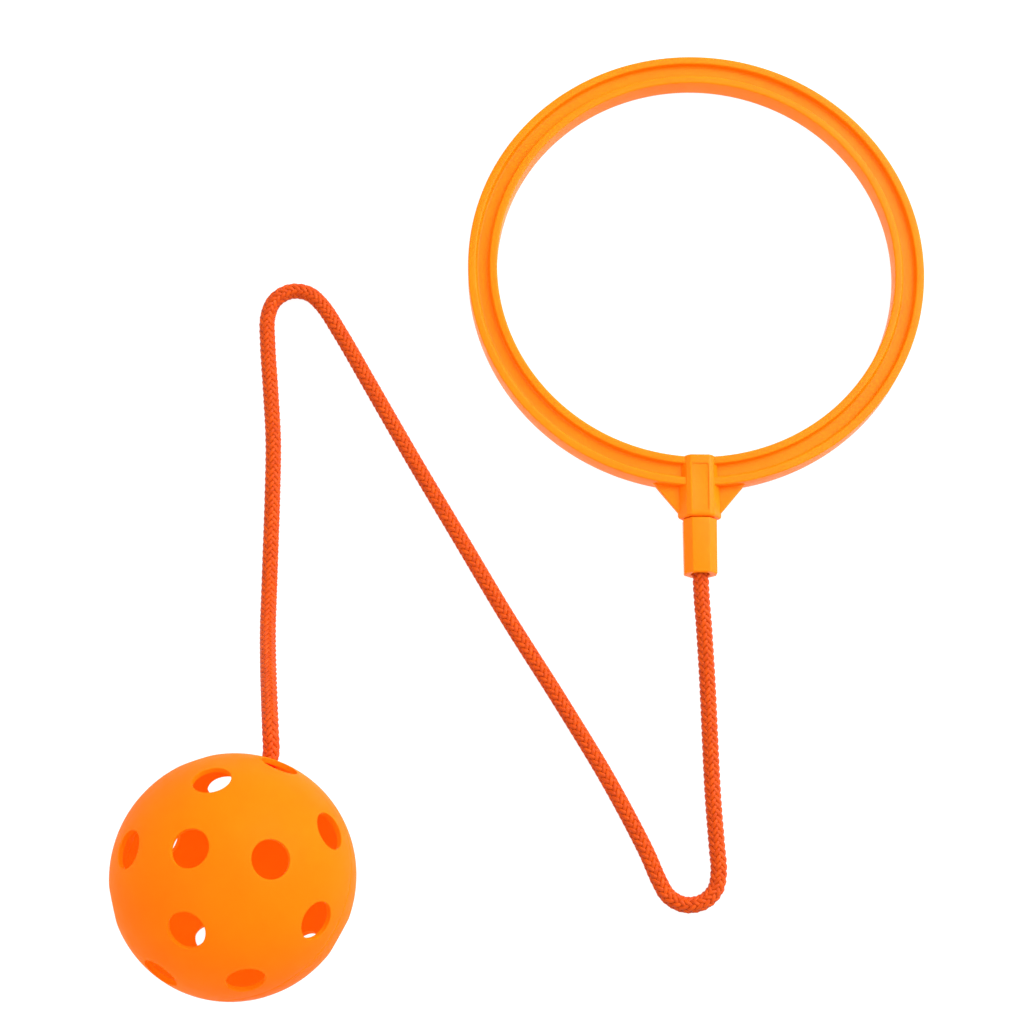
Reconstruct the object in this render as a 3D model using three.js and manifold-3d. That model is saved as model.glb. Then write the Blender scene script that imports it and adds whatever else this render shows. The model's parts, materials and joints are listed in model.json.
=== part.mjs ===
// An ankle skip ball, lying on the plane z = 0: a flat ankle ring with a socket, a sleeve that
// swivels in the socket, a braided cord that runs from the sleeve, and a hollow perforated ball
// knotted on the cord's far end. Millimetres, +Z up; the socket points along -Y.
import * as THREE from "three";
import { mergeVertices } from "three/addons/utils/BufferGeometryUtils.js";
import Module from "manifold-3d";

const wasm = await Module();
wasm.setup();

// Clearance between pieces that lie face to face or run in each other.
const GAP = 0.3;

// Ankle ring: an I-section hoop, one flange inside and one outside a recessed web.
const RING_OUTER_R = 72.8;
const RING_INNER_R = 63.5;
const RING_DEPTH = 8;
const OUTER_FLANGE = 2.6;
const INNER_FLANGE = 2.5;
const WEB_RECESS = 2;
const FLANGE_CHAMFER = 0.5;
const RING_SEGMENTS = 60;
const RING_CENTRE = { x: 50.5, y: 79.2 };

// Socket barrel, moulded on the ring at mid-depth. Distances are from the ring's centre, and
// the section's corners are the upper right quarter's, from the socket's axis.
const SOCKET_TURN = -0.25;
const BARREL_START = 62.9;
const BARREL_END = 82.75;
const BARREL_CORNERS = [
  [6.75, 0.3],
  [4.27, 4.3],
  [2.97, 5.1],
];
const BARREL_BEVEL = 0.9;
const BORE_R = 4.3;
const BORE_END_WALL = 2;
const LIP_R = 3.7;
const LIP_LENGTH = 2.1;
const PANEL = { width: 5.2, start: 65.9, end: 81, depth: 0.3 };
const GUSSET_THICKNESS = 2;
const GUSSET_ROOT = { x: 14.8, y: 71 };
const GUSSET_TIP_Y = 80.8;

// Swivel sleeve: an octagonal grip, a neck that passes the socket's lip, and a split snap head.
const SLEEVE_END = 100.5;
const SLEEVE_CORNERS = [
  [5.15, 1.75],
  [2.7, 4.55],
];
const SLEEVE_BEVEL = 0.4;
const HEAD_R = BORE_R - GAP;
const HEAD_LENGTH = 3.4;
const NECK_R = LIP_R - GAP;
const SLEEVE_BORE_R = 2.8;
const MOUTH_R = 3.4;
const SLOT_WIDTH = 1;

// Cord and the stopper knots on its two ends.
const CORD_R = 2.5;
const CORD_SIDES = 10;
const CORD_STEPS = 78;
const SLEEVE_KNOT = { r: 3.9, length: 8 };
const BALL_KNOT = { r: 6, length: 10.4 };
const KNOT_SEGMENTS = 20;
const KNOT_RINGS = 5;

// Ball: two welded half shells, thirteen round holes in each.
const BALL_R = 35;
const BALL_WALL = 1.5;
const BALL_CENTRE = { x: -88, y: -116.8 };
const POLE_AZIMUTH = 153;
const POLE_LEAN = 16.1;
const POLE_SPIN = 20.9;
const HOLE_R = 5.5;
const HOLE_SIDES = 12;
const UPPER_ROWS = { second: 37.4, third: 72.4 };
const LOWER_ROWS = { second: 35.8, third: 67.6 };
const THIRD_ROW_SPREAD = 22.5;
const LOWER_HALF_TURN = 45;
const CORD_HOLE_R = 3;
const CORD_HOLE_AZIMUTH = -98.5;
const BALL_SEGMENTS = 36;
const BALL_ROWS = 9;

// The cord's centreline from the sleeve's mouth to the ball's cord hole, chosen by hand.
const CORD_ROUTE = [
  [50.1, -22.7, 5.4],
  [50.3, -29, 5.1],
  [50.8, -36, 4.4],
  [51.2, -43, 3.6],
  [51.6, -51, 2.8],
  [51.9, -60, 2.5],
  [52.2, -73, 2.5],
  [52.7, -90, 2.5],
  [53.5, -104, 2.5],
  [53.9, -112.3, 2.5],
  [52.7, -117.5, 2.5],
  [48.8, -121.1, 2.5],
  [43.4, -121.8, 2.5],
  [38.7, -119.3, 2.5],
  [35.9, -114.6, 2.5],
  [32.3, -106.2, 2.5],
  [21.3, -85, 2.5],
  [6.4, -60, 2.5],
  [-9.1, -35.1, 2.5],
  [-24, -9.7, 2.5],
  [-39.1, 16.1, 2.5],
  [-53.5, 41.5, 2.5],
  [-62.4, 57.2, 2.5],
  [-69, 67.5, 2.5],
  [-73.4, 71.3, 2.5],
  [-79.1, 71.9, 2.5],
  [-83.9, 68.9, 2.5],
  [-86, 63.5, 2.5],
  [-85.8, 54, 2.5],
  [-84.5, 39, 2.5],
  [-83.2, 22, 2.5],
  [-83, 4, 2.5],
  [-83.1, -14, 2.5],
  [-83.1, -27, 3.4],
  [-82.8, -38, 7.2],
  [-81.6, -51, 16.1],
  [-80, -64, 26.4],
  [-78.9, -74, 32],
  [-78.5, -81.6, 32.8],
  [-79.5, -85.3, 33.1],
];

const radians = THREE.MathUtils.degToRad;
const barrelHalfWidth = BARREL_CORNERS[0][0];
const barrelHalfHeight = BARREL_CORNERS.at(-1)[1];

const plastic = (colour, roughness) =>
  new THREE.MeshStandardMaterial({ color: colour, roughness, metalness: 0 });

// A closed manifold-3d solid from a closed three.js geometry.
function solid(geometry) {
  const bare = geometry.clone();
  bare.deleteAttribute("normal");
  bare.deleteAttribute("uv");
  const merged = mergeVertices(bare, 1e-4);
  return new wasm.Manifold(
    new wasm.Mesh({
      numProp: 3,
      vertProperties: new Float32Array(merged.attributes.position.array),
      triVerts: new Uint32Array(merged.index.array),
    }),
  );
}

function meshOf(name, body, material) {
  const { numProp, vertProperties, triVerts } = body.getMesh();
  const geometry = new THREE.BufferGeometry();
  geometry.setAttribute("position", new THREE.BufferAttribute(vertProperties, numProp));
  geometry.setIndex(new THREE.BufferAttribute(triVerts, 1));
  const flat = geometry.toNonIndexed();
  flat.computeVertexNormals();
  const mesh = new THREE.Mesh(flat, material);
  mesh.name = name;
  return mesh;
}

// A turned solid about +Z, from [radius, height] points.
function turned(points, segments) {
  const profile = points.map(([r, z]) => new THREE.Vector2(r, z));
  return new THREE.LatheGeometry(profile, segments).rotateX(Math.PI / 2);
}

// Turns what was built along +Z so that it lies along -Y, with its own +Y up.
const layAlongSocket = (geometry) => geometry.rotateX(Math.PI / 2);

// A turned solid whose axis is the socket's, from [radius, distance from the ring's centre] points.
function turnedOnSocket(points, segments) {
  const geometry = turned(points, segments);
  return layAlongSocket(geometry).translate(0, 0, RING_DEPTH / 2);
}

// A closed outline that is the same in all four quarters, from its upper right corners.
function symmetricOutline(corners) {
  const upper = [...corners, ...[...corners].reverse().map(([x, y]) => [-x, y])];
  const lower = [...upper].reverse().map(([x, y]) => [x, -y]);
  return new THREE.Shape([...upper, ...lower].map(([x, y]) => new THREE.Vector2(x, y)));
}

// A bevelled prism on the socket's axis, between two distances from the ring's centre.
function prismOnSocket(shape, start, end, bevel) {
  const geometry = new THREE.ExtrudeGeometry(shape, {
    depth: end - start - 2 * bevel,
    steps: 1,
    bevelEnabled: true,
    bevelThickness: bevel,
    bevelSize: bevel,
    bevelOffset: -bevel,
    bevelSegments: 1,
  }).translate(0, 0, start + bevel);
  return layAlongSocket(geometry).translate(0, 0, RING_DEPTH / 2);
}

function hoopSection() {
  const outerWeb = RING_OUTER_R - OUTER_FLANGE;
  const innerWeb = RING_INNER_R + INNER_FLANGE;
  const c = FLANGE_CHAMFER;
  const upper = [
    [RING_OUTER_R, RING_DEPTH - c],
    [RING_OUTER_R - c, RING_DEPTH],
    [outerWeb + c, RING_DEPTH],
    [outerWeb, RING_DEPTH - c],
    [outerWeb, RING_DEPTH - WEB_RECESS],
    [innerWeb, RING_DEPTH - WEB_RECESS],
    [innerWeb, RING_DEPTH - c],
    [innerWeb - c, RING_DEPTH],
    [RING_INNER_R + c, RING_DEPTH],
    [RING_INNER_R, RING_DEPTH - c],
  ];
  const lower = [...upper].reverse().map(([r, z]) => [r, RING_DEPTH - z]);
  return [...upper, ...lower, upper[0]];
}

function makeAnkleRing() {
  const hoop = solid(turned(hoopSection(), RING_SEGMENTS));
  const outline = symmetricOutline(BARREL_CORNERS);
  const barrel = solid(prismOnSocket(outline, BARREL_START, BARREL_END, BARREL_BEVEL));

  // Gussets: one thin plate at mid-depth, tangent to the hoop and narrowing to the barrel.
  const rootInHoop = 1.5;
  const plate = new THREE.Shape([
    new THREE.Vector2(-GUSSET_ROOT.x, -GUSSET_ROOT.y),
    new THREE.Vector2(-barrelHalfWidth, -GUSSET_TIP_Y),
    new THREE.Vector2(barrelHalfWidth, -GUSSET_TIP_Y),
    new THREE.Vector2(GUSSET_ROOT.x, -GUSSET_ROOT.y),
    new THREE.Vector2(GUSSET_ROOT.x, -GUSSET_ROOT.y + rootInHoop),
    new THREE.Vector2(-GUSSET_ROOT.x, -GUSSET_ROOT.y + rootInHoop),
  ]);
  const gussets = solid(
    new THREE.ExtrudeGeometry(plate, { depth: GUSSET_THICKNESS, bevelEnabled: false })
      .translate(0, 0, (RING_DEPTH - GUSSET_THICKNESS) / 2),
  );

  // The bore is closed at the ring's inner wall and narrows to a lip at the mouth.
  const boreBottom = BARREL_START + BORE_END_WALL;
  const lipStart = BARREL_END - LIP_LENGTH;
  const beyond = BARREL_END + 1;
  const bore = solid(
    turnedOnSocket(
      [
        [0, boreBottom],
        [BORE_R, boreBottom],
        [BORE_R, lipStart],
        [LIP_R, lipStart],
        [LIP_R, beyond],
        [0, beyond],
      ],
      24,
    ),
  );

  // A shallow rectangular panel on the barrel's top and bottom flats.
  const panelLength = PANEL.end - PANEL.start;
  const panelFaces = 2 * (barrelHalfHeight - PANEL.depth);
  const panels = [1, -1].map((side) =>
    solid(
      new THREE.BoxGeometry(PANEL.width, panelLength, panelFaces).translate(
        0,
        -(PANEL.start + PANEL.end) / 2,
        RING_DEPTH / 2 + side * panelFaces,
      ),
    ),
  );
  return panels.reduce((body, panel) => body.subtract(panel), hoop.add(barrel).add(gussets).subtract(bore));
}

function makeSwivelSleeve() {
  const gripStart = BARREL_END + GAP;
  const headEnd = BARREL_END - LIP_LENGTH - GAP;
  const headStart = headEnd - HEAD_LENGTH;
  const outline = symmetricOutline(SLEEVE_CORNERS);
  const grip = solid(prismOnSocket(outline, gripStart, SLEEVE_END, SLEEVE_BEVEL));
  const leadIn = 1;
  const plug = solid(
    turnedOnSocket(
      [
        [0, headStart],
        [HEAD_R - leadIn, headStart],
        [HEAD_R, headStart + leadIn],
        [HEAD_R, headEnd],
        [NECK_R, headEnd],
        [NECK_R, gripStart + 1],
        [0, gripStart + 1],
      ],
      24,
    ),
  );
  const flare = MOUTH_R - SLEEVE_BORE_R;
  const bore = solid(
    turnedOnSocket(
      [
        [0, headStart - 1],
        [SLEEVE_BORE_R, headStart - 1],
        [SLEEVE_BORE_R, SLEEVE_END - flare],
        [MOUTH_R, SLEEVE_END],
        [MOUTH_R, SLEEVE_END + 1],
        [0, SLEEVE_END + 1],
      ],
      20,
    ),
  );

  // Two crossed slots split the head and neck into four snap fingers.
  const slotEnd = BARREL_END - GAP;
  const slotLength = slotEnd - (headStart - 1);
  const slots = [
    [SLOT_WIDTH, 2 * BORE_R],
    [2 * BORE_R, SLOT_WIDTH],
  ].map(([width, height]) =>
    solid(
      new THREE.BoxGeometry(width, slotLength, height).translate(
        0,
        -(slotEnd - slotLength / 2),
        RING_DEPTH / 2,
      ),
    ),
  );
  return slots.reduce((body, slot) => body.subtract(slot), grip.add(plug).subtract(bore));
}

// A pulled-tight stopper knot: a rounded lump between two distances along its axis.
function knotProfile(radius, start, end) {
  const middle = (start + end) / 2;
  const half = (end - start) / 2;
  const points = [[0, start]];
  for (let i = 1; i < 2 * KNOT_RINGS; i++) {
    const angle = (Math.PI * i) / (2 * KNOT_RINGS);
    points.push([radius * Math.sin(angle) ** 0.7, middle - half * Math.cos(angle)]);
  }
  return [...points, [0, end]];
}

// One half shell before its holes are cut, on +Z or -Z; its rim stays half a gap from the seam.
function halfShell(side) {
  const rim = GAP / 2;
  const arc = (radius) => {
    const start = Math.asin(rim / radius);
    const points = [];
    for (let i = 0; i <= BALL_ROWS; i++) {
      const angle = start + ((Math.PI / 2 - start) * i) / BALL_ROWS;
      points.push([i === BALL_ROWS ? 0 : radius * Math.cos(angle), radius * Math.sin(angle)]);
    }
    return points;
  };
  const shell = turned([...arc(BALL_R - BALL_WALL).reverse(), ...arc(BALL_R)], BALL_SEGMENTS);
  return solid(side === 1 ? shell : shell.rotateX(Math.PI));
}

// A radial drill through the shell, at a polar angle from +Z and an azimuth.
function radialDrill(radius, polar, azimuth, sides) {
  const length = 4 * BALL_WALL;
  const drill = new THREE.CylinderGeometry(radius, radius, length, sides)
    .rotateX(Math.PI / 2)
    .translate(0, 0, BALL_R - BALL_WALL / 2)
    .rotateY(radians(polar))
    .rotateZ(radians(azimuth));
  return solid(drill);
}

// side is 1 for the half on +Z and -1 for the other, which is welded on an eighth of a turn round.
function makeBallHalf(side) {
  const turn = side === 1 ? 0 : LOWER_HALF_TURN;
  const rows = side === 1 ? UPPER_ROWS : LOWER_ROWS;
  const polar = (angle) => (side === 1 ? angle : 180 - angle);
  const drills = [radialDrill(HOLE_R, polar(0), 0, HOLE_SIDES)];
  for (let quarter = 0; quarter < 4; quarter++) {
    const azimuth = 90 * quarter + turn;
    drills.push(radialDrill(HOLE_R, polar(rows.second), azimuth, HOLE_SIDES));
    for (const spread of [-THIRD_ROW_SPREAD, THIRD_ROW_SPREAD]) {
      drills.push(radialDrill(HOLE_R, polar(rows.third), azimuth + spread, HOLE_SIDES));
    }
  }
  drills.push(radialDrill(CORD_HOLE_R, 90, CORD_HOLE_AZIMUTH, HOLE_SIDES));
  return drills.reduce((body, drill) => body.subtract(drill), halfShell(side));
}

function makeCord() {
  const route = new THREE.CatmullRomCurve3(
    CORD_ROUTE.map((point) => new THREE.Vector3(...point)),
    false,
    "centripetal",
  );
  const section = new THREE.Shape();
  for (let i = 0; i < CORD_SIDES; i++) {
    const angle = (2 * Math.PI * i) / CORD_SIDES;
    const point = [CORD_R * Math.cos(angle), CORD_R * Math.sin(angle)];
    if (i === 0) section.moveTo(...point);
    else section.lineTo(...point);
  }
  return new THREE.ExtrudeGeometry(section, { steps: CORD_STEPS, extrudePath: route });
}

const ringPlastic = plastic(0xff9a1f, 0.35);
const ballPlastic = plastic(0xff9318, 0.55);
const cordPolyester = plastic(0xf5591a, 0.8);

// The ring and all that its socket holds tilt together: they rest on the barrel's underside
// at its inner end and on the hoop's far side.
const barrelDrop = barrelHalfHeight - RING_DEPTH / 2;
const farRest = RING_OUTER_R - FLANGE_CHAMFER;
const restSpan = farRest + BARREL_START + BARREL_BEVEL;
const ringTilt = Math.atan(barrelDrop / restSpan);
const ringAssembly = new THREE.Group();
ringAssembly.rotation.set(-ringTilt, 0, radians(SOCKET_TURN));
ringAssembly.position.set(RING_CENTRE.x, RING_CENTRE.y, farRest * Math.sin(ringTilt));
const knotEnd = BARREL_END - LIP_LENGTH - GAP - HEAD_LENGTH - GAP;
const tailStart = knotEnd + GAP;
const sleeveKnot = solid(
  turnedOnSocket(knotProfile(SLEEVE_KNOT.r, knotEnd - SLEEVE_KNOT.length, knotEnd), KNOT_SEGMENTS),
);
const sleeveCord = solid(
  turnedOnSocket(
    [
      [0, tailStart],
      [CORD_R, tailStart],
      [CORD_R, SLEEVE_END],
      [0, SLEEVE_END],
    ],
    CORD_SIDES,
  ),
);
ringAssembly.add(
  meshOf("ankle_ring", makeAnkleRing(), ringPlastic),
  meshOf("swivel_sleeve", makeSwivelSleeve(), ringPlastic),
  meshOf("sleeve_knot", sleeveKnot, cordPolyester),
  meshOf("sleeve_cord", sleeveCord, cordPolyester),
);

// The ball lies with its welded halves' common axis leaning; nested groups turn it there.
const ballPlace = new THREE.Group();
ballPlace.position.set(BALL_CENTRE.x, BALL_CENTRE.y, BALL_R);
ballPlace.rotation.z = radians(POLE_AZIMUTH);
const ballLean = new THREE.Group();
ballLean.rotation.y = radians(POLE_LEAN);
const ballSpin = new THREE.Group();
ballSpin.rotation.z = radians(POLE_SPIN);
ballPlace.add(ballLean);
ballLean.add(ballSpin);
const knotReach = BALL_R - BALL_WALL - 4 * GAP;
const ballKnot = solid(
  turned(knotProfile(BALL_KNOT.r, knotReach - BALL_KNOT.length, knotReach), KNOT_SEGMENTS)
    .rotateY(Math.PI / 2)
    .rotateZ(radians(CORD_HOLE_AZIMUTH)),
);
ballSpin.add(
  meshOf("ball_upper_half", makeBallHalf(1), ballPlastic),
  meshOf("ball_lower_half", makeBallHalf(-1), ballPlastic),
  meshOf("ball_knot", ballKnot, cordPolyester),
);

const skipBall = new THREE.Group();
skipBall.add(ringAssembly, ballPlace, meshOf("cord", solid(makeCord()), cordPolyester));

export default skipBall;
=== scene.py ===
"""Looks of the ankle skip ball: ring, swivel sleeve, braided cord and perforated ball."""
import json
import math

import bmesh
import bpy
import numpy as np
from mathutils import Matrix, Vector
from mathutils.geometry import delaunay_2d_cdt


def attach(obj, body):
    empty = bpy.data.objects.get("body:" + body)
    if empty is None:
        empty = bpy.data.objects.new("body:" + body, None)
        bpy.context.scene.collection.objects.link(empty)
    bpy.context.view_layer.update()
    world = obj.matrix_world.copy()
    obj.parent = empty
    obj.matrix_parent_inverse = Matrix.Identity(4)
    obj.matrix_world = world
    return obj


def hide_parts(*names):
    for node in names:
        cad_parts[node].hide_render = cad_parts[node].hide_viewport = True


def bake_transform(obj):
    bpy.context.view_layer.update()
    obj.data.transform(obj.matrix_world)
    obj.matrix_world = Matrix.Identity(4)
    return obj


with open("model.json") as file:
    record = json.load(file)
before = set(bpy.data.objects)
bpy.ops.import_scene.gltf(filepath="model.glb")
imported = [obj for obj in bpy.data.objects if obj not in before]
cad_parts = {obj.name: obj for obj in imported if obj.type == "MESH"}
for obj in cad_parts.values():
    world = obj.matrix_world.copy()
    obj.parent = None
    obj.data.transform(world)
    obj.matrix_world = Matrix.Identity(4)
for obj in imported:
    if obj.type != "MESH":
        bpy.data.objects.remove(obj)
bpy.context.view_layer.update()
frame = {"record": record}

MM = 0.001
JOINTS = {joint["name"]: joint for joint in frame["record"]["behaviour"]["joints"]}

# Ankle ring and socket, in millimetres from the ring's centre.
RING_OUTER_R = 72.8
RING_INNER_R = 63.5
RING_DEPTH = 8.0
OUTER_FLANGE = 2.6
INNER_FLANGE = 2.5
WEB_RECESS = 2.0
BARREL_START = 62.9
BARREL_END = 82.75
BARREL_CORNERS = [(6.75, 0.3), (4.27, 4.3), (2.97, 5.1)]
PANEL_FACE = 4.8
PANEL_CUT = 1.3
PANEL_OUTLINE = [(-2.6, -81), (2.6, -81), (2.6, -65.9), (-2.6, -65.9)]
GUSSET_HALF = 1
GUSSET_OUTLINE = [
    (-14.8, -71), (-6.75, -80.8), (6.75, -80.8),
    (14.8, -71), (14.8, -69.5), (-14.8, -69.5),
]
# Turned profiles along the socket: (radius, distance from the ring's centre).
SOCKET_BORE = [
    (0, 64.9), (4.1, 64.9), (4.3, 65.1), (4.3, 80.45), (4.1, 80.65), (3.8, 80.65),
    (3.7, 80.75), (3.7, 82.35), (3.85, 82.6), (4.15, 82.77), (4.15, 84), (0, 84),
]
SLEEVE_START = 83.05
SLEEVE_END = 100.5
SLEEVE_CORNERS = [(5.22, 1.75), (2.73, 4.6)]
HEAD_START = 76.95
HEAD_PROFILE = [
    (0, HEAD_START), (3, HEAD_START), (4, 77.95), (4, 80.15), (3.8, 80.35), (3.4, 80.35),
    (3.4, 84.05), (0, 84.05),
]
MOUTH_R = 3.4
SLEEVE_BORE_START = 76
SLOT_END = 82.45
SLEEVE_KNOT_Y = 72.65

# Ball, in millimetres and degrees.
BALL_R = 35.0
BALL_WALL = 1.5
HOLE_R = 5.5
UPPER_ROWS = (37.4, 72.4)
LOWER_ROWS = (35.8, 67.6)
THIRD_ROW_SPREAD = 22.5
LOWER_HALF_TURN = -45
PATCH_DEGREES = 13
PATCH_ANGLE = math.radians(PATCH_DEGREES)
HOLE_SIDES = 56
SEAM_POINTS = 220
SHELL_POINTS = 5200
POLE_AZIMUTH, POLE_LEAN, POLE_SPIN = 153.0, 16.1, 20.9
CORD_HOLE_R = 3.0
CORD_HOLE_AZIMUTH = -98.5

# Cord: its centreline from the sleeve's mouth to the ball's cord hole, in metres.
CORD_D = 0.005
BRAID_LEAD = 0.017
CORD_SPACING = 0.00071
HELD_PAST_MOUTH = 0.0085
CORD_INTO_BALL = 0.0295
BALL_KNOT_REACH = 0.0262
CORD_ROUTE = [
    (0.0501, -0.0227, 0.0054), (0.0503, -0.029, 0.0051), (0.0508, -0.036, 0.0044),
    (0.0512, -0.043, 0.0036), (0.0516, -0.051, 0.0028), (0.0519, -0.06, 0.0025),
    (0.0522, -0.073, 0.0025), (0.0527, -0.09, 0.0025), (0.0535, -0.104, 0.0025),
    (0.0539, -0.1123, 0.0025), (0.0527, -0.1175, 0.0025), (0.0488, -0.1211, 0.0025),
    (0.0434, -0.1218, 0.0025), (0.0387, -0.1193, 0.0025), (0.0359, -0.1146, 0.0025),
    (0.0323, -0.1062, 0.0025), (0.0213, -0.085, 0.0025), (0.0064, -0.06, 0.0025),
    (-0.0091, -0.0351, 0.0025), (-0.024, -0.0097, 0.0025), (-0.0391, 0.0161, 0.0025),
    (-0.0535, 0.0415, 0.0025), (-0.0624, 0.0572, 0.0025), (-0.069, 0.0675, 0.0025),
    (-0.0734, 0.0713, 0.0025), (-0.0791, 0.0719, 0.0025), (-0.0839, 0.0689, 0.0025),
    (-0.086, 0.0635, 0.0025), (-0.0858, 0.054, 0.0025), (-0.0845, 0.039, 0.0025),
    (-0.0832, 0.022, 0.0025), (-0.083, 0.004, 0.0025), (-0.0831, -0.014, 0.0025),
    (-0.0831, -0.027, 0.0034), (-0.0828, -0.038, 0.0072), (-0.0816, -0.051, 0.0161),
    (-0.08, -0.064, 0.0264), (-0.0789, -0.074, 0.032), (-0.0785, -0.0816, 0.0328),
    (-0.0795, -0.0853, 0.0331),
]


# ---------------------------------------------------------------- frames

def ring_frame():
    """The ring's own frame: origin at the hoop's centre on its underside, -Y along the socket."""
    swivel = JOINTS["sleeve_swivel"]
    outward = Vector(swivel["axis"]).normalized()
    panel = next(m for m in frame["record"]["mounts"] if m["name"] == "socket_panel")
    across = (-outward).cross(Vector(panel["axis"])).normalized()
    up = across.cross(-outward)
    origin = Vector(swivel["pos_m"]) - outward * BARREL_END * MM - up * RING_DEPTH / 2 * MM
    turn = Matrix((across, -outward, up)).transposed().to_4x4()
    return Matrix.Translation(origin) @ turn


def ball_frame():
    """The ball's own frame: +Z along the upper half's pole."""
    place = Matrix.Translation(Vector(JOINTS["ball_spin"]["pos_m"]))
    for angle, axis in ((POLE_AZIMUTH, "Z"), (POLE_LEAN, "Y"), (POLE_SPIN, "Z")):
        place = place @ Matrix.Rotation(math.radians(angle), 4, axis)
    return place


RING_FRAME = ring_frame()
BALL_FRAME = ball_frame()


# ---------------------------------------------------------------- camera

def add_camera():
    camera = bpy.data.objects.new("camera", bpy.data.cameras.new("camera"))
    bpy.context.scene.collection.objects.link(camera)
    camera.data.sensor_width = 36
    camera.data.lens = 80.26
    camera.data.clip_end = 20
    forward = Vector((0.01305, 0.25217, -0.9676)).normalized()
    up = Vector((-0.00363, 0.96768, 0.25214))
    right = forward.cross(up).normalized()
    up = right.cross(forward)
    turn = Matrix((right, up, -forward)).transposed().to_4x4()
    camera.matrix_world = Matrix.Translation(Vector((-0.01748, -0.18034, 0.692))) @ turn
    bpy.context.scene.camera = camera


# ---------------------------------------------------------------- mesh helpers

def new_object(name, vertices, faces, materials=(), sharp_angle=None):
    mesh = bpy.data.meshes.new(name)
    mesh.from_pydata([tuple(v) for v in vertices], [], [tuple(f) for f in faces])
    mesh.update()
    piece = bpy.data.objects.new(name, mesh)
    bpy.context.scene.collection.objects.link(piece)
    for material in materials:
        mesh.materials.append(material)
    shade(mesh, sharp_angle)
    return piece


def shade(mesh, sharp_angle=None):
    """Smooth shading, with edges sharper than sharp_angle degrees kept crisp."""
    bm = bmesh.new()
    bm.from_mesh(mesh)
    for face in bm.faces:
        face.smooth = True
    if sharp_angle is not None:
        limit = math.radians(sharp_angle)
        for edge in bm.edges:
            edge.smooth = len(edge.link_faces) == 2 and edge.calc_face_angle(0.0) < limit
    bm.to_mesh(mesh)
    bm.free()


def rounded_path(points, radii, steps=5):
    """A closed outline with each corner of points replaced by an arc of its radius."""
    count = len(points)
    outline = []
    for i in range(count):
        here = Vector(points[i])
        before = (Vector(points[i - 1]) - here).normalized()
        after = (Vector(points[(i + 1) % count]) - here).normalized()
        radius = radii[i]
        if radius <= 0:
            outline.append(here)
            continue
        half = before.angle(after) / 2
        centre = here + (before + after).normalized() * radius / math.sin(half)
        reach = radius / math.tan(half)
        start = here + before * reach - centre
        end = here + after * reach - centre
        sweep = start.angle(end)
        for k in range(steps + 1):
            t = k / steps
            arm = (start * math.sin((1 - t) * sweep) + end * math.sin(t * sweep)) / math.sin(sweep)
            outline.append(centre + arm)
    return outline


def lathe(outline, segments):
    """Vertices and faces of a closed outline of (radius, height) turned about Z."""
    vertices, faces = [], []
    count = len(outline)
    for i in range(segments):
        angle = 2 * math.pi * i / segments
        c, s = math.cos(angle), math.sin(angle)
        vertices += [Vector((r * c, r * s, z)) for r, z in outline]
    for i in range(segments):
        a, b = i * count, (i + 1) % segments * count
        for k in range(count):
            n = (k + 1) % count
            faces.append((a + k, b + k, b + n, a + n))
    return vertices, faces


def plug(profile, segments):
    """A turned solid about Z, from a profile of (radius, height) whose ends lie on the axis."""
    vertices = [Vector((0, 0, profile[0][1]))]
    faces = []
    inner = profile[1:-1]
    for r, z in inner:
        for i in range(segments):
            angle = 2 * math.pi * i / segments
            vertices.append(Vector((r * math.cos(angle), r * math.sin(angle), z)))
    vertices.append(Vector((0, 0, profile[-1][1])))
    last = len(vertices) - 1
    for i in range(segments):
        n = (i + 1) % segments
        faces.append((0, 1 + n, 1 + i))
        for k in range(len(inner) - 1):
            a, b = 1 + k * segments, 1 + (k + 1) * segments
            faces.append((a + i, a + n, b + n, b + i))
        top = 1 + (len(inner) - 1) * segments
        faces.append((top + i, top + n, last))
    return vertices, faces


def rounded_prism(corners, start, end, corner_r, end_r, steps=4, taper=1.0):
    """A prism of a convex outline (counterclockwise) along Z, with rounded corners and end edges.

    Its section is scaled evenly from 1 at the start to taper at the end."""
    arcs = []
    count = len(corners)
    for i in range(count):
        here = Vector(corners[i])
        into = (here - Vector(corners[i - 1])).normalized()
        out = (Vector(corners[(i + 1) % count]) - here).normalized()
        n0, n1 = Vector((into.y, -into.x)), Vector((out.y, -out.x))
        bisector = (n0 + n1).normalized()
        centre = here - bisector * corner_r / bisector.dot(n0)
        turn = n0.angle(n1)
        for k in range(steps + 1):
            t = k / steps
            normal = (n0 * math.sin((1 - t) * turn) + n1 * math.sin(t * turn)) / math.sin(turn)
            arcs.append((centre, normal))
    rows = []
    for k in range(steps + 1):
        t = math.pi / 2 * k / steps
        rows.append((end_r * (1 - math.sin(t)), start + end_r * (1 - math.cos(t))))
    rows += [(inset, start + end - height) for inset, height in reversed(rows)]
    vertices, faces = [], []
    for inset, height in rows:
        scale = 1 + (taper - 1) * (height - start) / (end - start)
        for centre, normal in arcs:
            flat = (centre + normal * (corner_r - inset)) * scale
            vertices.append(Vector((flat.x, flat.y, height)))
    around = len(arcs)
    for row in range(len(rows) - 1):
        a, b = row * around, (row + 1) * around
        for i in range(around):
            n = (i + 1) % around
            faces.append((a + i, a + n, b + n, b + i))
    faces.append(tuple(range(around - 1, -1, -1)))
    top = (len(rows) - 1) * around
    faces.append(tuple(range(top, top + around)))
    return vertices, faces


# Turns what was built along +Z so that it lies along the socket (-Y of the ring's frame).
ALONG_SOCKET = Matrix.Translation((0, 0, RING_DEPTH / 2)) @ Matrix.Rotation(math.pi / 2, 4, "X")


def tool(shape, place=None):
    """A helper mesh in the ring's millimetres, for joining and cutting."""
    vertices, faces = shape
    if place is not None:
        vertices = [place @ v for v in vertices]
    return new_object("tool", vertices, faces)


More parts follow.
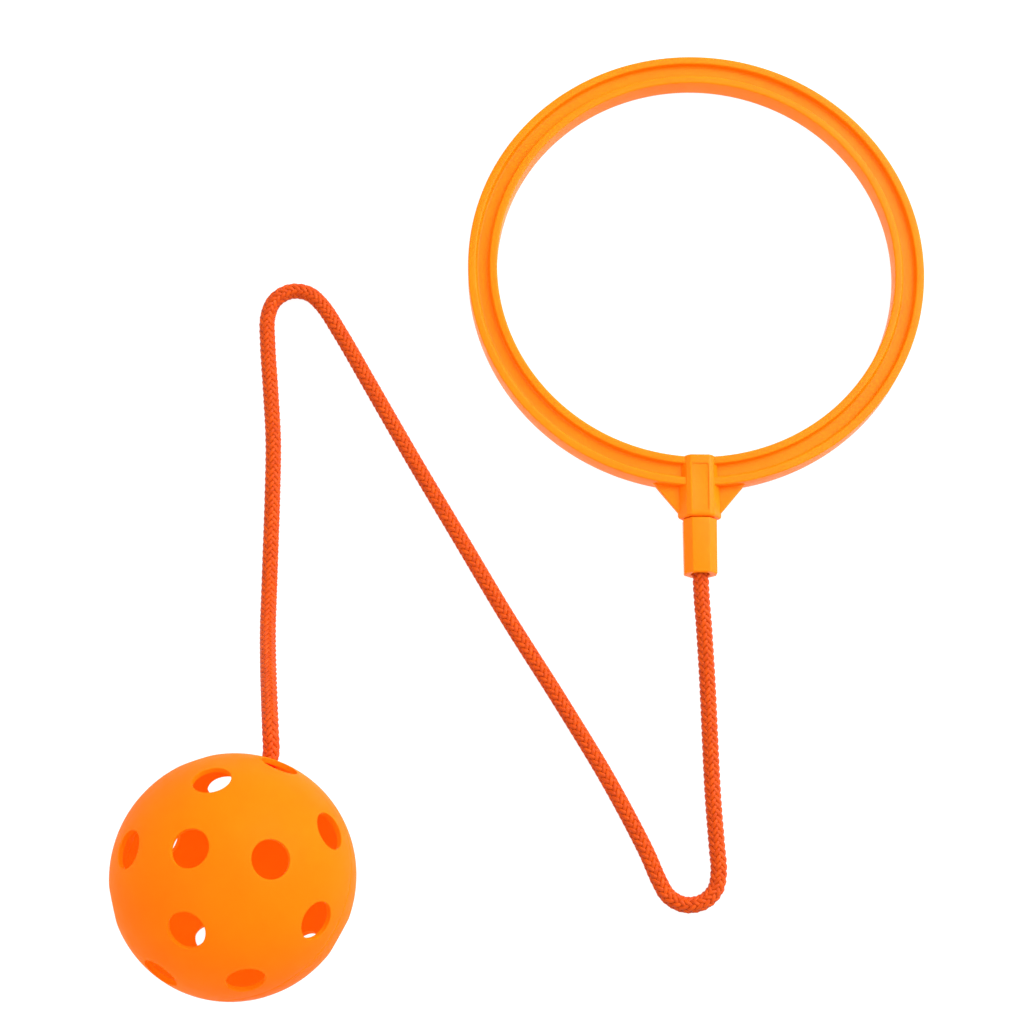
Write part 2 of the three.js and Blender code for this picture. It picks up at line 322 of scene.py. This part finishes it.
def combine(base, tools):
    """Joins and cuts base with (operation, helper) pairs, and deletes the helpers."""
    for operation, helper in tools:
        modifier = base.modifiers.new("combine", "BOOLEAN")
        modifier.operation = operation
        modifier.solver = "EXACT"
        modifier.object = helper
        bpy.context.view_layer.update()
        evaluated = base.evaluated_get(bpy.context.evaluated_depsgraph_get())
        mesh = bpy.data.meshes.new_from_object(evaluated)
        base.modifiers.clear()
        old, base.data = base.data, mesh
        bpy.data.meshes.remove(old)
        bpy.data.objects.remove(helper)
    return base


def finish_moulding(piece, name, place, material, sharp_angle=32):
    """Scales a piece from millimetres, puts it in its frame, names it and gives it its material."""
    mesh = piece.data
    mesh.transform(place @ Matrix.Scale(MM, 4))
    bm = bmesh.new()
    bm.from_mesh(mesh)
    bmesh.ops.remove_doubles(bm, verts=bm.verts, dist=2e-6)
    bmesh.ops.recalc_face_normals(bm, faces=bm.faces)
    bm.to_mesh(mesh)
    bm.free()
    mesh.materials.clear()
    mesh.materials.append(material)
    shade(mesh, sharp_angle)
    piece.name = name
    mesh.name = name
    return piece


def mirrored(corners):
    """A closed outline that is the same in all four quarters, from its upper right corners."""
    back = corners[::-1]
    return (
        corners
        + [(-x, y) for x, y in back]
        + [(-x, -y) for x, y in corners]
        + [(x, -y) for x, y in back]
    )


# ---------------------------------------------------------------- ring and socket

def hoop_outline():
    outer_web = RING_OUTER_R - OUTER_FLANGE
    inner_web = RING_INNER_R + INNER_FLANGE
    top, floor = RING_DEPTH, RING_DEPTH - WEB_RECESS
    draft = 0.12
    upper = [
        (RING_OUTER_R, top, 0.5),
        (outer_web + draft, top, 0.5),
        (outer_web - draft, floor, 0.8),
        (inner_web + draft, floor, 0.8),
        (inner_web - draft, top, 0.5),
        (RING_INNER_R, top, 0.5),
    ]
    lower = [(r, RING_DEPTH - z, f) for r, z, f in reversed(upper)]
    loop = upper + lower
    return rounded_path([(r, z) for r, z, _ in loop], [f for _, _, f in loop], steps=5)


def make_ring():
    hoop = tool(lathe(hoop_outline(), 288))
    barrel = tool(
        rounded_prism(mirrored(BARREL_CORNERS), BARREL_START, BARREL_END, 1.0, 0.95, steps=5),
        ALONG_SOCKET,
    )
    middle = RING_DEPTH / 2
    gusset = tool(
        rounded_prism(GUSSET_OUTLINE, middle - GUSSET_HALF, middle + GUSSET_HALF, 0.5, 0.45)
    )
    cuts = [tool(plug(SOCKET_BORE, 64), ALONG_SOCKET)]
    for low, high in (
        (middle + PANEL_FACE, middle + PANEL_FACE + PANEL_CUT),
        (middle - PANEL_FACE - PANEL_CUT, middle - PANEL_FACE),
    ):
        cuts.append(tool(rounded_prism(PANEL_OUTLINE, low, high, 0.5, 0.12)))
    joined = [("UNION", barrel), ("UNION", gusset)]
    return combine(hoop, joined + [("DIFFERENCE", cut) for cut in cuts])


def make_sleeve():
    outline = mirrored(SLEEVE_CORNERS)
    grip = tool(
        rounded_prism(outline, SLEEVE_START, SLEEVE_END, 0.55, 0.45, taper=0.976), ALONG_SOCKET
    )
    flare = [(2.8, SLEEVE_BORE_START)]
    for k in range(7):
        angle = math.pi / 12 * k
        flare.append((MOUTH_R - 0.6 * math.cos(angle), SLEEVE_END - 0.6 + 0.62 * math.sin(angle)))
    bore = [(0, SLEEVE_BORE_START)] + flare + [(MOUTH_R, 101.6), (0, 101.6)]
    cuts = [tool(plug(bore, 64), ALONG_SOCKET)]
    middle = RING_DEPTH / 2
    for half, rise in ((0.5, 4.3), (4.3, 0.5)):
        slot = [
            (-half, -SLOT_END), (half, -SLOT_END),
            (half, -SLEEVE_BORE_START), (-half, -SLEEVE_BORE_START),
        ]
        cuts.append(tool(rounded_prism(slot, middle - rise, middle + rise, 0.2, 0.15)))
    joined = [("UNION", tool(plug(HEAD_PROFILE, 64), ALONG_SOCKET))]
    return combine(grip, joined + [("DIFFERENCE", cut) for cut in cuts])


# ---------------------------------------------------------------- ball

def around(axis, angle, turn):
    """The direction at that angle from an axis, turned about it, in radians."""
    side = axis.cross(Vector((0, 0, 1)))
    side = Vector((1, 0, 0)) if side.length < 1e-6 else side.normalized()
    other = axis.cross(side)
    rim = side * math.cos(turn) + other * math.sin(turn)
    return axis * math.cos(angle) + rim * math.sin(angle)


def hole_axes(rows, turn):
    """Directions of one half's thirteen holes, from its two rows' angles to its pole, +Z."""
    axes = [(0.0, 0.0)]
    second, third = rows
    for quarter in range(4):
        azimuth = 90 * quarter + turn
        axes += [
            (second, azimuth),
            (third, azimuth - THIRD_ROW_SPREAD),
            (third, azimuth + THIRD_ROW_SPREAD),
        ]
    directions = []
    for polar, azimuth in axes:
        p, a = math.radians(polar), math.radians(azimuth)
        directions.append(
            Vector((math.sin(p) * math.cos(a), math.sin(p) * math.sin(a), math.cos(p)))
        )
    return directions


def hole_profile():
    """(distance from the hole's axis, height along it) from the outer face round to the inner."""
    inner_r = BALL_R - BALL_WALL
    outer_f, inner_f = 0.16, 0.12
    outer = np.radians([PATCH_DEGREES, 11.6, 10.6])
    rows = [(BALL_R * math.sin(a), BALL_R * math.cos(a)) for a in outer]
    reach = HOLE_R + outer_f
    height = math.sqrt((BALL_R - outer_f) ** 2 - reach**2)
    start = math.atan2(height, reach)
    for k in range(6):
        angle = start + (math.pi - start) * k / 5
        rows.append((reach + outer_f * math.cos(angle), height + outer_f * math.sin(angle)))
    reach = HOLE_R + inner_f
    height = math.sqrt((inner_r + inner_f) ** 2 - reach**2)
    end = math.pi + math.atan2(height, reach)
    for k in range(4):
        angle = math.pi + (end - math.pi) * k / 3
        rows.append((reach + inner_f * math.cos(angle), height + inner_f * math.sin(angle)))
    inner = np.radians([11.2, PATCH_DEGREES])
    rows += [(inner_r * math.sin(a), inner_r * math.cos(a)) for a in inner]
    return rows


def rim_loop(cord_azimuth, inset, hole_angle):
    """Directions round a half's edge, inset radians from the seam, with the cord hole's notch."""
    reach = hole_angle + inset
    first = math.asin(math.sin(inset) / math.sin(reach)) if inset > 0 else 0.0
    gap = reach * math.cos(first)
    loop = []
    for i in range(SEAM_POINTS + 1):
        azimuth = cord_azimuth + gap + (2 * math.pi - 2 * gap) * i / SEAM_POINTS
        c = math.cos(inset)
        loop.append(Vector((c * math.cos(azimuth), c * math.sin(azimuth), math.sin(inset))))
    axis = Vector((math.cos(cord_azimuth), math.sin(cord_azimuth), 0))
    tangent = Vector((-axis.y, axis.x, 0))
    steps = 14
    for i in range(1, steps):
        angle = first + (math.pi - 2 * first) * i / steps
        rim = -tangent * math.cos(angle) + Vector((0, 0, 1)) * math.sin(angle)
        loop.append(axis * math.cos(reach) + rim * math.sin(reach))
    return loop


def half_shell(axes, cord_azimuth):
    """Vertices and faces of one half shell, its pole along +Z, with rounded hole edges."""
    inner_r = BALL_R - BALL_WALL
    profile = hole_profile()
    sides = HOLE_SIDES
    vertices, faces = [], []
    outer_of, inner_of = [], []
    domain, edges = [], []

    def add_domain(loop, outer_ids, inner_ids):
        base = len(domain)
        domain.extend(loop)
        outer_of.extend(outer_ids)
        inner_of.extend(inner_ids)
        edges.extend((base + i, base + (i + 1) % len(loop)) for i in range(len(loop)))

    for axis in axes:
        base = len(vertices)
        for reach, height in profile:
            r = math.hypot(reach, height)
            angle = math.atan2(reach, height)
            vertices.extend(around(axis, angle, 2 * math.pi * i / sides) * r for i in range(sides))
        for row in range(len(profile) - 1):
            a, b = base + row * sides, base + (row + 1) * sides
            for i in range(sides):
                n = (i + 1) % sides
                faces.append((a + i, a + n, b + n, b + i))
        last = base + (len(profile) - 1) * sides
        loop = [around(axis, PATCH_ANGLE, 2 * math.pi * i / sides) for i in range(sides)]
        add_domain(loop, range(base, base + sides), range(last, last + sides))

    outer_hole = math.asin(CORD_HOLE_R / BALL_R)
    inner_hole = math.asin(CORD_HOLE_R / inner_r)
    rows = [
        (BALL_R, 0.010, outer_hole), (BALL_R - 0.03, 0.0055, outer_hole),
        (BALL_R - 0.12, 0.0025, outer_hole), (BALL_R - 0.22, 0.0008, outer_hole),
        (inner_r + 0.15, 0.0008, inner_hole), (inner_r, 0.006, inner_hole),
    ]
    base = len(vertices)
    for radius, inset, hole in rows:
        loop = rim_loop(cord_azimuth, inset, hole)
        vertices.extend(v * radius for v in loop)
    length = len(loop)
    for row in range(len(rows) - 1):
        a, b = base + row * length, base + (row + 1) * length
        for i in range(length):
            n = (i + 1) % length
            faces.append((a + n, a + i, b + i, b + n))
    last = base + (len(rows) - 1) * length
    add_domain(rim_loop(cord_azimuth, rows[0][1], outer_hole), range(base, base + length),
               range(last, last + length))

    # Evenly spread points between the holes' patches and the rim.
    golden = math.pi * (3 - math.sqrt(5))
    cord_axis = Vector((math.cos(cord_azimuth), math.sin(cord_azimuth), 0))
    for i in range(SHELL_POINTS // 2):
        z = 1 - (i + 0.5) * 2 / SHELL_POINTS
        r = math.sqrt(1 - z * z)
        point = Vector((r * math.cos(golden * i), r * math.sin(golden * i), z))
        clear = all(point.angle(axis) > PATCH_ANGLE + 0.022 for axis in axes)
        if clear and z > 0.03 and point.angle(cord_axis) > outer_hole + 0.035:
            outer_of.append(len(vertices))
            vertices.append(point * BALL_R)
            inner_of.append(len(vertices))
            vertices.append(point * inner_r)
            domain.append(point)

    flat = [Vector((p.x, p.y)) / (1 + p.z) for p in domain]
    _, _, triangles, original, _, _ = delaunay_2d_cdt(flat, edges, [], 0, 1e-9)
    source = [ids[0] for ids in original]
    for triangle in triangles:
        ids = [source[i] for i in triangle]
        centre = sum((domain[i] for i in ids), Vector()).normalized()
        in_hole = any(centre.angle(axis) < PATCH_ANGLE * 0.998 for axis in axes)
        in_notch = centre.angle(cord_axis) < outer_hole or centre.z < rows[0][1] * 0.5
        if in_hole or in_notch:
            continue
        faces.append(tuple(outer_of[i] for i in ids))
        faces.append(tuple(inner_of[i] for i in reversed(ids)))
    return vertices, faces


def make_ball_half(name, side, material):
    axes = hole_axes(UPPER_ROWS, 0) if side == 1 else hole_axes(LOWER_ROWS, LOWER_HALF_TURN)
    shape = half_shell(axes, side * math.radians(CORD_HOLE_AZIMUTH))
    piece = tool(shape)
    # How far inside the shell each point lies; the material paints a glow there that stands in for
    # light coming through the wall.
    inside = piece.data.attributes.new("inside", "FLOAT", "POINT")
    depths = [min(1.0, max(0.0, (BALL_R - v.co.length) / BALL_WALL)) for v in piece.data.vertices]
    inside.data.foreach_set("value", depths)
    flip = Matrix.Identity(4) if side == 1 else Matrix.Rotation(math.pi, 4, "X")
    return finish_moulding(piece, name, BALL_FRAME @ flip, material, sharp_angle=50)


# ---------------------------------------------------------------- cord

def smooth_route(points, spacing):
    """Evenly spaced points on the centripetal Catmull-Rom curve through points."""
    knots = [np.array(p, float) for p in points]
    ends = [2 * knots[0] - knots[1]] + knots + [2 * knots[-1] - knots[-2]]
    fine = []
    for p0, p1, p2, p3 in zip(ends, ends[1:], ends[2:], ends[3:]):
        d0, d1, d2 = (math.sqrt(np.linalg.norm(b - a)) for a, b in ((p0, p1), (p1, p2), (p2, p3)))
        t1 = ((p1 - p0) / d0 - (p2 - p0) / (d0 + d1) + (p2 - p1) / d1) * d1
        t2 = ((p2 - p1) / d1 - (p3 - p1) / (d1 + d2) + (p3 - p2) / d2) * d1
        for t in np.linspace(0, 1, 24, endpoint=False):
            fine.append(p1 + t1 * t + (-3 * p1 + 3 * p2 - 2 * t1 - t2) * t * t
                        + (2 * p1 - 2 * p2 + t1 + t2) * t**3)
    fine.append(knots[-1])
    fine = np.array(fine)
    along = np.r_[0, np.cumsum(np.linalg.norm(np.diff(fine, axis=0), axis=1))]
    count = max(2, round(along[-1] / spacing))
    wanted = np.linspace(0, along[-1], count + 1)
    return np.stack([np.interp(wanted, along, fine[:, k]) for k in range(3)], 1), wanted


def carried_frames(points):
    """Unit tangent, normal and binormal at each point, with no twist along the line."""
    tangents = np.gradient(points, axis=0)
    tangents /= np.linalg.norm(tangents, axis=1)[:, None]
    normal = np.cross(tangents[0], (0, 0, 1.0))
    normals = []
    for t in tangents:
        normal = normal - t * normal.dot(t)
        normal = normal / np.linalg.norm(normal)
        normals.append(normal)
    normals = np.array(normals)
    return tangents, normals, np.cross(tangents, normals)


def braid(points, along, radius, lead, span=slice(None), caps=(True, True)):
    """Sixteen flat strands, eight each way, over two and under two round a core.

    Only the rows of points in span are built, closed at the ends that caps says. Returns vertices,
    faces, and per vertex (height 0..1, place along the strand, place across, strand number)."""
    carriers = 8
    _, normals, binormals = carried_frames(points)
    half_width, half_height = 0.28 * radius, 0.2 * radius
    middle, swing = 0.72 * radius, 0.11 * radius
    # A strand's section: (across, height) from one bottom corner over the top to the other.
    section = [
        (-1.0, -0.55), (-0.98, 0.12), (-0.62, 0.74), (0.0, 1.0),
        (0.62, 0.74), (0.98, 0.12), (1.0, -0.55),
    ]
    slope = math.atan(2 * math.pi * middle / lead)
    vertices, faces, facts = [], [], []
    rows = len(points[span])

    def add_tube(base, size, way):
        for k in range(size):
            a, b = base + k * rows, base + (k + 1) % size * rows
            faces.extend((a + i, a + i + 1, b + i + 1, b + i)[::way] for i in range(rows - 1))
        if caps[0]:
            faces.append(tuple(base + k * rows for k in range(size))[::way])
        if caps[1]:
            faces.append(tuple(base + k * rows + rows - 1 for k in range(size))[::-way])

    for way in (1, -1):
        for carrier in range(carriers):
            angle = 2 * math.pi * (carrier / carriers + way * along / lead)
            column = angle / (2 * math.pi) * 2 * carriers
            lift = np.cos(math.pi / 2 * (column - 0.5)) * way
            lift = lift * (1.5 - 0.5 * lift * lift)
            out = normals * np.cos(angle)[:, None] + binormals * np.sin(angle)[:, None]
            centre = points + out * (middle + swing * lift)[:, None]
            run = np.gradient(centre, axis=0)
            run /= np.linalg.norm(run, axis=1)[:, None]
            width = np.cross(run, out)
            width /= np.linalg.norm(width, axis=1)[:, None]
            lie = np.cross(width, run)
            base = len(vertices)
            length = along / math.cos(slope)
            number = carrier + (carriers if way == -1 else 0)
            for across, height in section:
                spot = centre + width * across * half_width + lie * height * half_height
                vertices.extend(spot[span])
                # This value sets the painted shade: it is lower where a strand dives under another
                # and along the strand's lower sides.
                shade_height = np.clip(0.5 + 0.38 * lift + 0.3 * (height - 0.6), 0, 1)
                facts.extend((t, l, across, number) for t, l in zip(shade_height[span], length[span]))
            add_tube(base, len(section), 1)
    core_sides = 12
    base = len(vertices)
    for i in range(core_sides):
        angle = 2 * math.pi * i / core_sides
        spot = points + (normals * math.cos(angle) + binormals * math.sin(angle)) * 0.7 * radius
        vertices.extend(spot[span])
        # The core gets height 0 and so the dark gap colour: painted shade seen between the strands.
        facts.extend((0, l, 0, 20) for l in along[span])
    add_tube(base, core_sides, -1)
    return vertices, faces, facts


def braided_object(name, points, along, radius, lead, material, **part):
    vertices, faces, facts = braid(points, along, radius, lead, **part)
    piece = new_object(name, vertices, faces, [material])
    bm = bmesh.new()
    bm.from_mesh(piece.data)
    bmesh.ops.recalc_face_normals(bm, faces=bm.faces)
    bm.to_mesh(piece.data)
    bm.free()
    facts = np.array(facts, np.float32)
    # The height attribute carries the painted shade level to the cord material.
    height = piece.data.attributes.new("height", "FLOAT", "POINT")
    height.data.foreach_set("value", facts[:, 0].copy())
    lie = piece.data.attributes.new("lie", "FLOAT_VECTOR", "POINT")
    lie.data.foreach_set("vector", (facts[:, 1:4] * [1000, 1, 1]).astype(np.float32).ravel())
    return piece


def along_spin(reach):
    """The point that far from the ball's centre along the cord's hole."""
    spin = JOINTS["ball_spin"]
    return Vector(spin["pos_m"]) + Vector(spin["axis"]) * reach


def cord_line():
    """The cord's whole line in metres: from the sleeve's knot, along the route, to the ball's."""
    stations = (HEAD_START, 84.5, 92.5, SLEEVE_END)
    inside = [RING_FRAME @ (Vector((0, -y, RING_DEPTH / 2)) * MM) for y in stations]
    return [tuple(p) for p in inside] + CORD_ROUTE + [tuple(along_spin(CORD_INTO_BALL))]


# ---------------------------------------------------------------- materials

def node(tree, kind, **values):
    made = tree.nodes.new(kind)
    for key, value in values.items():
        if hasattr(made, key):
            setattr(made, key, value)
        else:
            made.inputs[key.replace("_", " ")].default_value = value
    return made


def principled(name):
    material = bpy.data.materials.new(name)
    material.use_nodes = True
    tree = material.node_tree
    return material, tree, tree.nodes["Principled BSDF"]


def ramp(tree, fac, stops):
    made = tree.nodes.new("ShaderNodeValToRGB")
    tree.links.new(fac, made.inputs["Fac"])
    elements = made.color_ramp.elements
    for index, (place, colour) in enumerate(stops):
        element = elements[index] if index < 2 else elements.new(place)
        element.position = place
        element.color = (*colour, 1)
    return made.outputs["Color"]


def number_ramp(tree, fac, low, high):
    made = tree.nodes.new("ShaderNodeMapRange")
    tree.links.new(fac, made.inputs["Value"])
    made.inputs["From Min"].default_value = 0.3
    made.inputs["From Max"].default_value = 0.7
    made.inputs["To Min"].default_value = low
    made.inputs["To Max"].default_value = high
    return made.outputs["Result"]


def noise(tree, vector, scale, detail=2.0, roughness=0.5):
    made = tree.nodes.new("ShaderNodeTexNoise")
    made.inputs["Scale"].default_value = scale
    made.inputs["Detail"].default_value = detail
    made.inputs["Roughness"].default_value = roughness
    tree.links.new(vector, made.inputs["Vector"])
    return made.outputs["Fac"]


def moulded_plastic(name, light, deep, rough, grain, subsurface, specular):
    """Injection-moulded plastic: slow colour drift, fine surface texture, a little translucency and
    a painted glow on the ball's inner faces.
    """
    material, tree, shader = principled(name)
    place = tree.nodes.new("ShaderNodeNewGeometry").outputs["Position"]
    drift = noise(tree, place, 38.0, 3.0, 0.55)
    tree.links.new(ramp(tree, drift, [(0.3, deep), (0.7, light)]), shader.inputs["Base Color"])
    wear = noise(tree, place, 260.0, 3.0, 0.6)
    tree.links.new(number_ramp(tree, wear, *rough), shader.inputs["Roughness"])
    bump = tree.nodes.new("ShaderNodeBump")
    bump.inputs["Strength"].default_value = grain
    bump.inputs["Distance"].default_value = 0.0001
    tree.links.new(noise(tree, place, 2600.0, 2.0, 0.6), bump.inputs["Height"])
    tree.links.new(bump.outputs["Normal"], shader.inputs["Normal"])
    shader.inputs["IOR"].default_value = 1.49
    shader.inputs["Specular IOR Level"].default_value = specular
    shader.inputs["Subsurface Weight"].default_value = subsurface
    shader.inputs["Subsurface Radius"].default_value = (1.0, 0.5, 0.1)
    shader.inputs["Subsurface Scale"].default_value = 0.003
    # Painted glow: emission on the ball's inner faces, set by the inside attribute, stands in for
    # light that comes through the wall. The ring has no such attribute and does not glow.
    painted_glow = node(tree, "ShaderNodeAttribute", attribute_name="inside").outputs["Fac"]
    shader.inputs["Emission Color"].default_value = (0.6, 0.052, 0.0004, 1)
    tree.links.new(painted_glow, shader.inputs["Emission Strength"])
    return material


def braided_fibre(name):
    """Polyester strands: fine filaments along each strand, and painted shade that darkens the
    colour where one dives under another.
    """
    material, tree, shader = principled(name)
    height = node(tree, "ShaderNodeAttribute", attribute_name="height").outputs["Fac"]
    lie = node(tree, "ShaderNodeAttribute", attribute_name="lie").outputs["Vector"]
    stretch = tree.nodes.new("ShaderNodeMapping")
    stretch.inputs["Scale"].default_value = (0.22, 5.5, 3.7)
    tree.links.new(lie, stretch.inputs["Vector"])
    filament = noise(tree, stretch.outputs["Vector"], 1.6, 2.0, 0.55)
    blotch = tree.nodes.new("ShaderNodeMapping")
    blotch.inputs["Scale"].default_value = (0.25, 0.3, 9.0)
    tree.links.new(lie, blotch.inputs["Vector"])
    shift = noise(tree, blotch.outputs["Vector"], 1.0, 2.0, 0.5)
    top = ramp(tree, shift, [(0.3, (0.52, 0.05, 0.001)), (0.7, (0.7, 0.085, 0.002))])
    # Painted shade: the colour goes from the top colour to a dark gap colour as the height
    # attribute falls, where strands dive under each other and onto the core.
    painted_shade_mix = tree.nodes.new("ShaderNodeMix")
    painted_shade_mix.data_type = "RGBA"
    painted_shade_mix.inputs["A"].default_value = (0.13, 0.006, 0.0003, 1)
    tree.links.new(number_ramp(tree, height, 0.0, 1.0), painted_shade_mix.inputs["Factor"])
    tree.links.new(top, painted_shade_mix.inputs["B"])
    streak = tree.nodes.new("ShaderNodeMix")
    streak.data_type = "RGBA"
    streak.blend_type = "MULTIPLY"
    streak.inputs["Factor"].default_value = 0.55
    tree.links.new(painted_shade_mix.outputs["Result"], streak.inputs["A"])
    fade = ramp(tree, filament, [(0.35, (0.55, 0.42, 0.35)), (0.6, (1, 1, 1))])
    tree.links.new(fade, streak.inputs["B"])
    tree.links.new(streak.outputs["Result"], shader.inputs["Base Color"])
    tree.links.new(number_ramp(tree, filament, 0.5, 0.3), shader.inputs["Roughness"])
    bump = tree.nodes.new("ShaderNodeBump")
    bump.inputs["Strength"].default_value = 0.5
    bump.inputs["Distance"].default_value = 0.00012
    tree.links.new(filament, bump.inputs["Height"])
    tree.links.new(bump.outputs["Normal"], shader.inputs["Normal"])
    shader.inputs["Specular IOR Level"].default_value = 0.12
    return material


# ---------------------------------------------------------------- knots

def knot_line(size, turns=220):
    """A tight overhand knot with both ends leaving along Z, in units of its size."""
    points = []
    for i in range(turns + 1):
        t = -1.0 + 2.0 * i / turns
        angle = t * 1.5 * math.pi * 1.12
        swell = math.cos(t * math.pi / 2) ** 0.35 if abs(t) < 1 else 0.0
        x = size * (math.sin(angle) + 1.1 * math.sin(2 * angle)) * 0.42 * swell
        y = size * (math.cos(angle) - 1.1 * math.cos(2 * angle)) * 0.42 * swell
        z = size * (0.9 * t + 0.36 * math.sin(3 * angle))
        points.append((x, y, z))
    return points


def make_knot(name, place, size, radius, material):
    points = [tuple(place @ Vector(p)) for p in knot_line(size)]
    line, along = smooth_route(points[::4], 0.0008)
    return braided_object(name, line, along, radius, 0.012, material)


# ---------------------------------------------------------------- build

add_camera()

RING_LIGHT, RING_DEEP = (1.0, 0.2, 0.002), (0.98, 0.18, 0.0015)
BALL_LIGHT, BALL_DEEP = (1.0, 0.162, 0.002), (0.98, 0.142, 0.0015)
ring_plastic = moulded_plastic("ring_moulding", RING_LIGHT, RING_DEEP, (0.3, 0.42), 0.1, 0.45, 0.09)
ball_plastic = moulded_plastic(
    "ball_moulding", BALL_LIGHT, BALL_DEEP, (0.46, 0.58), 0.2, 0.2, 0.025
)
cord_fibre = braided_fibre("cord_braid")

ring = finish_moulding(make_ring(), "ring_moulding", RING_FRAME, ring_plastic)
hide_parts("ankle_ring")
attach(ring, "ring")

sleeve = finish_moulding(make_sleeve(), "sleeve_moulding", RING_FRAME, ring_plastic)
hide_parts("swivel_sleeve")
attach(sleeve, "sleeve")

for half_name, half_node, half_side in (
    ("ball_shell_upper", "ball_upper_half", 1),
    ("ball_shell_lower", "ball_lower_half", -1),
):
    half = make_ball_half(half_name, half_side, ball_plastic)
    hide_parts(half_node)
    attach(half, "ball")

# One braid in two pieces: what the sleeve holds, bending at its mouth, and the free run.
line, along = smooth_route(cord_line(), CORD_SPACING)
mouth = RING_FRAME @ (Vector((0, -SLEEVE_END, RING_DEPTH / 2)) * MM)
mouth_row = int(np.argmin(np.linalg.norm(line - np.array(mouth), axis=1)))
split = mouth_row + round(HELD_PAST_MOUTH / CORD_SPACING)
held = braided_object(
    "sleeve_braid", line, along, CORD_D / 2, BRAID_LEAD, cord_fibre,
    span=slice(0, split + 1), caps=(True, False),
)
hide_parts("sleeve_cord")
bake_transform(held)

cord = braided_object(
    "braided_cord", line, along, CORD_D / 2, BRAID_LEAD, cord_fibre,
    span=slice(split, None), caps=(False, True),
)
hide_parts("cord")
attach(cord, "cord_run")

sleeve_knot_place = (
    Matrix.Translation(RING_FRAME @ (Vector((0, -SLEEVE_KNOT_Y, RING_DEPTH / 2)) * MM))
    @ RING_FRAME.to_3x3().to_4x4()
    @ Matrix.Rotation(math.pi / 2, 4, "X")
)
spin_axis = Vector(JOINTS["ball_spin"]["axis"])
ball_knot_place = (
    Matrix.Translation(along_spin(BALL_KNOT_REACH))
    @ spin_axis.to_track_quat("Z", "Y").to_matrix().to_4x4()
)
knot_specs = (
    ("sleeve_stopper_knot", "sleeve_knot", "ring", sleeve_knot_place, 0.0027, 0.0014),
    ("ball_stopper_knot", "ball_knot", "cord_run", ball_knot_place, 0.0038, 0.0019),
)
for knot_name, knot_node, knot_body, knot_place, knot_size, strand_r in knot_specs:
    knot = make_knot(knot_name, knot_place, knot_size, strand_r, cord_fibre)
    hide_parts(knot_node)
    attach(knot, knot_body)


# ---------------------------------------------------------------- floor and light

FLOOR_HALF = 3


def add_floor():
    material, tree, shader = principled("floor_white")
    shader.inputs["Base Color"].default_value = (0.16, 0.16, 0.16, 1)
    shader.inputs["Roughness"].default_value = 0.6
    shader.inputs["Emission Color"].default_value = (1, 1, 1, 1)
    shader.inputs["Emission Strength"].default_value = 0.92
    corners = [(-FLOOR_HALF, -FLOOR_HALF, 0), (FLOOR_HALF, -FLOOR_HALF, 0),
               (FLOOR_HALF, FLOOR_HALF, 0), (-FLOOR_HALF, FLOOR_HALF, 0)]
    floor = new_object("floor", corners, [(0, 1, 2, 3)], [material])
    floor.location.z = -0.0002


def add_area_light(name, place, aim, size, power):
    light = bpy.data.lights.new(name, "AREA")
    light.shape = "RECTANGLE"
    light.size, light.size_y = size
    light.energy = power
    lamp = bpy.data.objects.new(name, light)
    bpy.context.scene.collection.objects.link(lamp)
    lamp.location = place
    lamp.rotation_euler = (Vector(aim) - Vector(place)).to_track_quat("-Z", "Y").to_euler()


def add_lights():
    world = bpy.data.worlds.new("studio")
    bpy.context.scene.world = world
    world.use_nodes = True
    world.node_tree.nodes["Background"].inputs["Color"].default_value = (1, 1, 1, 1)
    world.node_tree.nodes["Background"].inputs["Strength"].default_value = 0.85
    add_area_light("key", (1.15, 0.75, 1.25), (0, 0, 0), (1.7, 1.7), 54)
    add_area_light("fill", (-0.8, -0.3, 0.9), (0, 0, 0), (1.0, 1.0), 4)


add_floor()
add_lights()
view = bpy.context.scene.view_settings
view.view_transform = "Standard"
